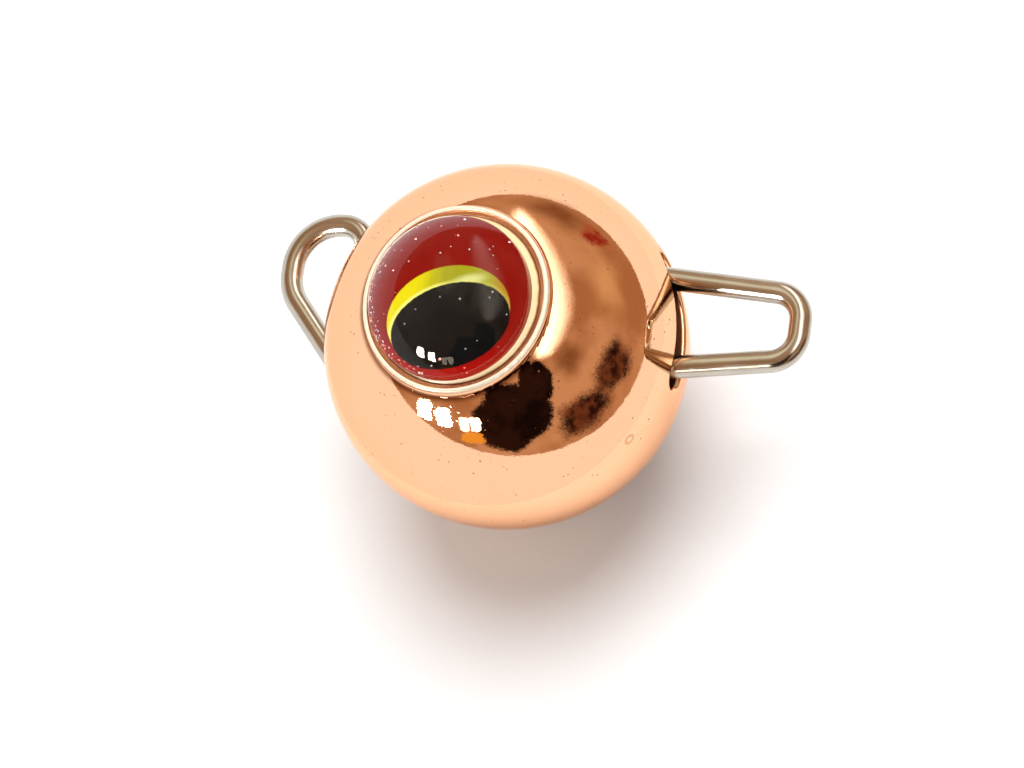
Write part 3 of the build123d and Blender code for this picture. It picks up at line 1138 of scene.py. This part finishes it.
class JIGHEAD_OT_scatter_flecks(bpy.types.Operator):
    """Scatter glitter flecks over the red rim and air bubbles in the resin"""

    bl_idname = "jighead.scatter_flecks"
    bl_label = "Scatter flecks"

    def execute(self, context):
        eye = context.scene.jighead_eye

        def rim_band(side_name):
            centre, radius, _, high = eye_box("film", side_name)
            return centre, radius * 0.55, radius - 0.05 * MM, high + 0.022 * MM

        def rim_share(radius, angle):
            near_edge = max(0.0, (radius / MM - 2.05) / 0.3)
            left = max(0.0, -math.cos(angle - 0.35)) ** 1.5
            upper = max(0.0, math.sin(angle)) * 0.022
            return near_edge * left * 3.2 + upper + 0.008

        bed = scatter_bed("glitter_flecks", rim_band, rim_share)
        values = {
            "Density": eye.fleck_density / (MM * MM),
            "Smallest": 0.014 * MM,
            "Largest": 0.040 * MM,
            "Tilt": 0.6,
            "Lift": 0.01 * MM,
            "Seed": 4,
        }
        flecks = bake_nodes(bed, scatter_tree("glitter_scatter", finish_of("glitter_foil"), "fleck"), values)
        settle(flecks, "ball", [])

        def resin_band(side_name):
            centre, radius, low, _ = eye_box("dome", side_name)
            return centre, radius * 0.02, radius * 0.8, low + 0.08 * MM

        def resin_share(radius, angle):
            return 1.0

        area = math.pi * (2.0 ** 2) * MM * MM
        bed = scatter_bed("resin_bubbles", resin_band, resin_share)
        values = {
            "Density": eye.bubble_count / area,
            "Smallest": 0.006 * MM,
            "Largest": 0.026 * MM,
            "Tilt": 0.0,
            "Lift": 0.35 * MM,
            "Seed": 2,
        }
        bubbles = bake_nodes(bed, scatter_tree("bubble_scatter", finish_of("air_bubble"), "bubble"), values)
        bubbles.data.polygons.foreach_set("use_smooth", [True] * len(bubbles.data.polygons))
        settle(bubbles, "ball", [])
        return {"FINISHED"}


# ---------------------------------------------------------------- stage

def heading(azimuth, elevation):
    """A unit vector from its azimuth from +X and its elevation, in degrees"""
    turn = math.radians(azimuth)
    rise = math.radians(elevation)
    return Vector((math.cos(rise) * math.cos(turn), math.cos(rise) * math.sin(turn), math.sin(rise)))


def glow_material(name, colour, second=None, scale=20.0, strength=1.0, softness=0.12, grit=0.10):
    """A glowing board that drifts between two colours and thins out towards its rim"""
    material = bpy.data.materials.new(name)
    material.use_nodes = True
    tree = material.node_tree
    tree.nodes.clear()
    glow = tree.nodes.new("ShaderNodeEmission")
    glow.inputs["Strength"].default_value = strength
    output = tree.nodes.new("ShaderNodeOutputMaterial")
    place = tree.nodes.new("ShaderNodeTexCoord").outputs["Object"]
    drift = between(tree, noise_of(tree, place, scale, 4.0, 0.6), 0.40, 0.60)
    tree.links.new(blend_colour(tree, drift, colour, second or colour), glow.inputs["Color"])
    if softness is None:
        tree.links.new(glow.outputs[0], output.inputs["Surface"])
        return material
    inward = add_node(tree, "ShaderNodeAttribute", {"attribute_name": "inward"})
    rough_edge = maths(tree, "SUBTRACT", noise_of(tree, place, 900.0, 6.0, 0.7), 0.5)
    solid = between(tree, maths(tree, "MULTIPLY_ADD", rough_edge, grit * 4.0, inward.outputs["Fac"]), 0.02, 0.02 + softness)
    clear = tree.nodes.new("ShaderNodeBsdfTransparent")
    mixed = tree.nodes.new("ShaderNodeMixShader")
    tree.links.new(solid, mixed.inputs[0])
    tree.links.new(clear.outputs[0], mixed.inputs[1])
    tree.links.new(glow.outputs[0], mixed.inputs[2])
    tree.links.new(mixed.outputs[0], output.inputs["Surface"])
    return material


def only_reflected(obj):
    """Makes a board show in reflections and nowhere else"""
    obj.visible_camera = False
    obj.visible_diffuse = False
    obj.visible_transmission = False
    obj.visible_volume_scatter = False
    obj.visible_shadow = False


def mirrored_spot(direction, reach):
    """Where the ball's mirror image of that direction comes from, at that distance from its centre"""
    outward = (VIEW_BACK + direction).normalized()
    start = outward * BALL_RADIUS
    along = start.dot(direction)
    return start + direction * (math.sqrt(along ** 2 + reach ** 2 - BALL_RADIUS ** 2) - along)


def reflection_board(name, azimuth, elevation, width, height, roll, material, reach=0.055, square=3.0):
    """A rounded board seen in the ball; its place and sizes are the angles it fills, in degrees"""
    corners = 32
    forward = heading(azimuth, elevation)
    across = Vector((0.0, 0.0, 1.0)).cross(forward).normalized()
    upward = forward.cross(across)
    turn = math.radians(roll)
    axis_u = across * math.cos(turn) + upward * math.sin(turn)
    axis_v = upward * math.cos(turn) - across * math.sin(turn)
    half_u = math.tan(math.radians(width / 2.0))
    half_v = math.tan(math.radians(height / 2.0))
    rings = ((1.0, 0.0), (0.85, 0.15), (0.6, 0.4), (0.3, 0.7))
    verts = []
    inward = []
    for share, depth in rings:
        for step in range(corners):
            angle = 2.0 * math.pi * step / corners
            c = math.cos(angle)
            s = math.sin(angle)
            wobble = 1.0 + 0.07 * math.sin(3.0 * angle + azimuth) + 0.05 * math.sin(7.0 * angle + elevation)
            span = share * wobble / (abs(c) ** square + abs(s) ** square) ** (1.0 / square)
            spot = forward + axis_u * (half_u * span * c) + axis_v * (half_v * span * s)
            verts.append(mirrored_spot(spot.normalized(), reach))
            inward.append(depth)
    verts.append(mirrored_spot(forward, reach))
    inward.append(1.0)
    faces = []
    for ring in range(len(rings) - 1):
        for step in range(corners):
            a = ring * corners + step
            b = ring * corners + (step + 1) % corners
            faces.append((a, b, b + corners, a + corners))
    last = (len(rings) - 1) * corners
    for step in range(corners):
        faces.append((last + step, last + (step + 1) % corners, len(verts) - 1))
    mesh = bpy.data.meshes.new(name)
    mesh.from_pydata(verts, [], faces)
    mesh.materials.append(material)
    mesh.attributes.new("inward", "FLOAT", "POINT").data.foreach_set("value", inward)
    board = bpy.data.objects.new(name, mesh)
    bpy.context.scene.collection.objects.link(board)
    only_reflected(board)
    return board


def reflection_band(name, spine, material, reach):
    """A curved strip seen in the ball; its spine is (azimuth, elevation, half width), in degrees"""
    across_shares = (-1.0, -0.75, -0.4, 0.0, 0.4, 0.75, 1.0)
    middles = [heading(azimuth, elevation) for azimuth, elevation, _ in spine]
    verts = []
    inward = []
    for number, (_, _, half) in enumerate(spine):
        before = middles[max(0, number - 1)]
        after = middles[min(len(middles) - 1, number + 1)]
        sideways = (after - before).cross(middles[number]).normalized()
        for share in across_shares:
            spot = middles[number] + sideways * math.tan(math.radians(half)) * share
            verts.append(mirrored_spot(spot.normalized(), reach))
            at_end = number in (0, len(spine) - 1)
            inward.append(0.0 if at_end else 1.0 - abs(share))
    count = len(across_shares)
    faces = []
    for row in range(len(spine) - 1):
        for column in range(count - 1):
            a = row * count + column
            faces.append((a, a + 1, a + count + 1, a + count))
    mesh = bpy.data.meshes.new(name)
    mesh.from_pydata(verts, [], faces)
    mesh.materials.append(material)
    mesh.attributes.new("inward", "FLOAT", "POINT").data.foreach_set("value", inward)
    band = bpy.data.objects.new(name, mesh)
    bpy.context.scene.collection.objects.link(band)
    only_reflected(band)
    return band


def reflection_hood(name, up, radius, rim_height, material):
    """A bowl over the ball that shows only in reflections, with its rim at that height along up"""
    rows = 24
    segments = 64
    up = up.normalized()
    side = up.cross(Vector((0.0, 1.0, 0.0))).normalized()
    other = up.cross(side)
    lowest = math.asin(rim_height / radius)
    verts = []
    faces = []
    for row in range(rows):
        rise = lowest + (math.pi / 2.0 - lowest) * row / rows
        for step in range(segments):
            turn = 2.0 * math.pi * step / segments
            flat = side * math.cos(turn) + other * math.sin(turn)
            verts.append((flat * math.cos(rise) + up * math.sin(rise)) * radius)
    for row in range(rows - 1):
        for step in range(segments):
            a = row * segments + step
            b = row * segments + (step + 1) % segments
            faces.append((a, b, b + segments, a + segments))
    top = len(verts)
    verts.append(up * radius)
    last = (rows - 1) * segments
    for step in range(segments):
        faces.append((last + step, last + (step + 1) % segments, top))
    mesh = bpy.data.meshes.new(name)
    mesh.from_pydata(verts, [], faces)
    mesh.materials.append(material)
    hood = bpy.data.objects.new(name, mesh)
    bpy.context.scene.collection.objects.link(hood)
    only_reflected(hood)
    return hood


class JIGHEAD_OT_set_stage(bpy.types.Operator):
    """Set the floor, soft light, reflection boards and camera"""

    bl_idname = "jighead.set_stage"
    bl_label = "Set stage"

    def execute(self, context):
        scene = context.scene
        stage = scene.jighead_stage
        scene.view_settings.view_transform = "Standard"
        self.lay_floor(scene)
        self.set_surroundings(scene, stage)
        self.hang_boards()
        self.place_key(scene, stage)
        self.place_camera(scene, stage)
        return {"FINISHED"}

    def lay_floor(self, scene):
        """A wide pale matt floor just under the object"""
        half = 0.6
        level = CAD_BOX[0][2]
        mesh = bpy.data.meshes.new("floor")
        mesh.from_pydata([(-half, -half, level), (half, -half, level), (half, half, level), (-half, half, level)], [], [(0, 1, 2, 3)])
        material, _, shader, _ = new_material("floor_white")
        shader.inputs["Base Color"].default_value = (0.92, 0.92, 0.92, 1.0)
        shader.inputs["Roughness"].default_value = 1.0
        shader.inputs["Specular IOR Level"].default_value = 0.0
        mesh.materials.append(material)
        floor = bpy.data.objects.new("floor", mesh)
        scene.collection.objects.link(floor)
        floor.visible_glossy = False
        near = bpy.data.meshes.new("near_floor")
        rounds = [2.0 * math.pi * step / 48 for step in range(48)]
        near.from_pydata([(0.014 * math.cos(a), 0.014 * math.sin(a), level + 0.05 * MM) for a in rounds], [], [tuple(range(48))])
        near.materials.append(material)
        near_floor = bpy.data.objects.new("near_floor", near)
        scene.collection.objects.link(near_floor)
        only_reflected(near_floor)

    def set_surroundings(self, scene, stage):
        """White surroundings, softer on matt surfaces than in reflections"""
        world = bpy.data.worlds.new("surroundings")
        world.use_nodes = True
        scene.world = world
        tree = world.node_tree
        tree.nodes.clear()
        path = tree.nodes.new("ShaderNodeLightPath")
        span = stage.fill_strength - stage.surround_strength
        after_matt = maths(tree, "GREATER_THAN", path.outputs["Diffuse Depth"], 0.5)
        matt = maths(tree, "MAXIMUM", path.outputs["Is Diffuse Ray"], after_matt)
        strength = maths(tree, "MULTIPLY_ADD", matt, span, stage.surround_strength)
        sky = tree.nodes.new("ShaderNodeBackground")
        sky.inputs["Color"].default_value = (1.0, 1.0, 1.0, 1.0)
        tree.links.new(strength, sky.inputs["Strength"])
        output = tree.nodes.new("ShaderNodeOutputWorld")
        tree.links.new(sky.outputs[0], output.inputs["Surface"])

    def hang_boards(self):
        """A warm hood over the ball, with dark, bright and red boards under it"""
        warm = glow_material("hood_warm", (0.42, 0.22, 0.11), (0.62, 0.40, 0.25), 14.0, softness=None)
        dark = glow_material("board_dark", (0.008, 0.004, 0.004), (0.024, 0.010, 0.007), 60.0)
        murky = glow_material("board_murky", (0.022, 0.008, 0.006), (0.15, 0.055, 0.028), 130.0, softness=0.5, grit=0.25)
        window = glow_material("board_window", (0.95, 0.98, 1.0), strength=110.0, softness=0.03, grit=0.03)
        dim_window = glow_material("board_dim_window", (1.0, 0.97, 0.9), strength=9.0, softness=0.05, grit=0.05)
        amber = glow_material("board_amber", (0.9, 0.48, 0.07), strength=1.0, grit=0.12)
        red = glow_material("board_red", (0.30, 0.03, 0.02), (0.42, 0.14, 0.07), 150.0, softness=0.5, grit=0.25)
        lamp = glow_material("board_lamp", (1.0, 0.97, 0.92), strength=3.4, softness=0.9, grit=0.02)
        shade = glow_material("board_shade", (0.22, 0.10, 0.045), (0.30, 0.15, 0.07), 30.0, softness=0.9, grit=0.03)
        light = glow_material("board_light", (0.70, 0.48, 0.27), (0.60, 0.38, 0.20), 30.0, softness=0.9, grit=0.03)
        cream = glow_material("board_cream", (1.15, 1.06, 0.82), softness=0.5, grit=0.05)
        reflection_hood("warm_hood", Vector((0.399, 0.075, 0.915)), 0.060, 0.0023, warm)
        reflection_board("dark_board", -71.0, 24.0, 46.0, 46.0, 30.0, dark)
        reflection_board("dark_neck_board", -44.0, 36.0, 32.0, 22.0, 60.0, dark)
        reflection_board("side_dark_board", -8.0, -3.0, 36.0, 28.0, -25.0, murky)
        reflection_board("murky_board", -36.0, -2.0, 40.0, 30.0, -20.0, murky, 0.056)
        reflection_board("window_pane_left", -127.5, 24.0, 8.5, 11.0, 15.0, window, 0.050, 6.0)
        reflection_board("window_pane_right", -114.5, 25.0, 8.0, 11.0, 15.0, window, 0.050, 6.0)
        reflection_board("second_pane_left", -101.0, 24.0, 5.5, 9.0, 0.0, dim_window, 0.050, 6.0)
        reflection_board("second_pane_right", -94.0, 24.5, 5.5, 9.0, 0.0, dim_window, 0.050, 6.0)
        reflection_board("amber_board", -97.0, 15.0, 14.0, 8.0, 0.0, amber, 0.051, 4.0)
        reflection_board("red_board", 60.0, -6.0, 15.0, 18.0, 20.0, red)
        reflection_board("upper_shade_board", 76.0, -1.0, 44.0, 32.0, 0.0, shade, 0.0565)
        reflection_board("lower_shade_board", -16.0, 27.0, 30.0, 26.0, 0.0, shade, 0.0565)
        reflection_board("light_board", 34.0, 4.0, 44.0, 30.0, 0.0, light, 0.0575)
        reflection_board("limb_cream_board", 112.0, 60.0, 26.0, 56.0, 0.0, cream, 0.052)
        glare = ((92.0, 6.0, 3.0), (84.0, 18.0, 8.0), (73.0, 29.0, 13.0), (55.0, 40.0, 18.0), (33.0, 46.0, 21.0))
        glare += ((14.0, 48.0, 20.0), (-5.0, 48.0, 16.0), (-20.0, 46.0, 10.0), (-30.0, 44.0, 4.0))
        reflection_band("glare_band", glare, lamp, 0.053)

    def place_key(self, scene, stage):
        """A wide soft sun from above and behind the ball"""
        lamp = bpy.data.lights.new("key", "SUN")
        lamp.energy = stage.key_strength
        lamp.angle = math.radians(42.0)
        key = bpy.data.objects.new("key", lamp)
        toward = heading(71.0, 65.0)
        key.rotation_euler = toward.to_track_quat("Z", "Y").to_euler()
        key.location = toward * 0.3
        key.visible_glossy = False
        scene.collection.objects.link(key)

    def place_camera(self, scene, stage):
        """The camera, above the hook loop's side of the ball"""
        lens = bpy.data.cameras.new("camera")
        lens.lens = stage.lens
        lens.sensor_width = 36.0
        lens.clip_start = 0.01
        lens.clip_end = 10.0
        camera = bpy.data.objects.new("camera", lens)
        scene.collection.objects.link(camera)
        back = VIEW_BACK
        right = (VIEW_RIGHT - back * VIEW_RIGHT.dot(back)).normalized()
        up = back.cross(right)
        spot = back * stage.distance + right * (0.148 * MM) - up * (1.129 * MM)
        turned = Matrix((right, up, back)).transposed().to_4x4()
        camera.matrix_world = Matrix.Translation(spot) @ turned
        scene.camera = camera


class JIGHEAD_PT_panel(bpy.types.Panel):
    """The jig head's settings and steps"""

    bl_label = "Jig head"
    bl_idname = "JIGHEAD_PT_panel"
    bl_space_type = "VIEW_3D"
    bl_region_type = "UI"
    bl_category = "Jig head"

    def draw(self, context):
        layout = self.layout
        scene = context.scene
        for title, settings in (
            ("Plating", scene.jighead_plate),
            ("Wire clip", scene.jighead_wire),
            ("Eyes", scene.jighead_eye),
            ("Stage", scene.jighead_stage),
        ):
            box = layout.box()
            box.label(text=title)
            for prop in settings.__annotations__:
                box.prop(settings, prop)
        for step in STEPS:
            layout.operator(step.bl_idname)


STEPS = (
    JIGHEAD_OT_mix_finishes,
    JIGHEAD_OT_plate_ball,
    JIGHEAD_OT_bend_wire,
    JIGHEAD_OT_print_eyes,
    JIGHEAD_OT_glue_eyes,
    JIGHEAD_OT_cast_domes,
    JIGHEAD_OT_scatter_flecks,
    JIGHEAD_OT_set_stage,
)
SETTINGS = {
    "jighead_plate": JigheadPlateSettings,
    "jighead_wire": JigheadWireSettings,
    "jighead_eye": JigheadEyeSettings,
    "jighead_stage": JigheadStageSettings,
}


def register():
    """Registers the settings, steps and panel"""
    for settings in SETTINGS.values():
        bpy.utils.register_class(settings)
    for step in STEPS:
        bpy.utils.register_class(step)
    bpy.utils.register_class(JIGHEAD_PT_panel)
    for name, settings in SETTINGS.items():
        setattr(bpy.types.Scene, name, bpy.props.PointerProperty(type=settings))


def unregister():
    """Takes back everything that register did"""
    for name in SETTINGS:
        delattr(bpy.types.Scene, name)
    bpy.utils.unregister_class(JIGHEAD_PT_panel)
    for step in reversed(STEPS):
        bpy.utils.unregister_class(step)
    for settings in reversed(list(SETTINGS.values())):
        bpy.utils.unregister_class(settings)


def main():
    """Builds the whole jig head"""
    register()
    bpy.ops.jighead.mix_finishes()
    bpy.ops.jighead.plate_ball()
    bpy.ops.jighead.bend_wire()
    bpy.ops.jighead.print_eyes()
    bpy.ops.jighead.glue_eyes()
    bpy.ops.jighead.cast_domes()
    bpy.ops.jighead.scatter_flecks()
    bpy.ops.jighead.set_stage()


if __name__ == "__main__":
    main()
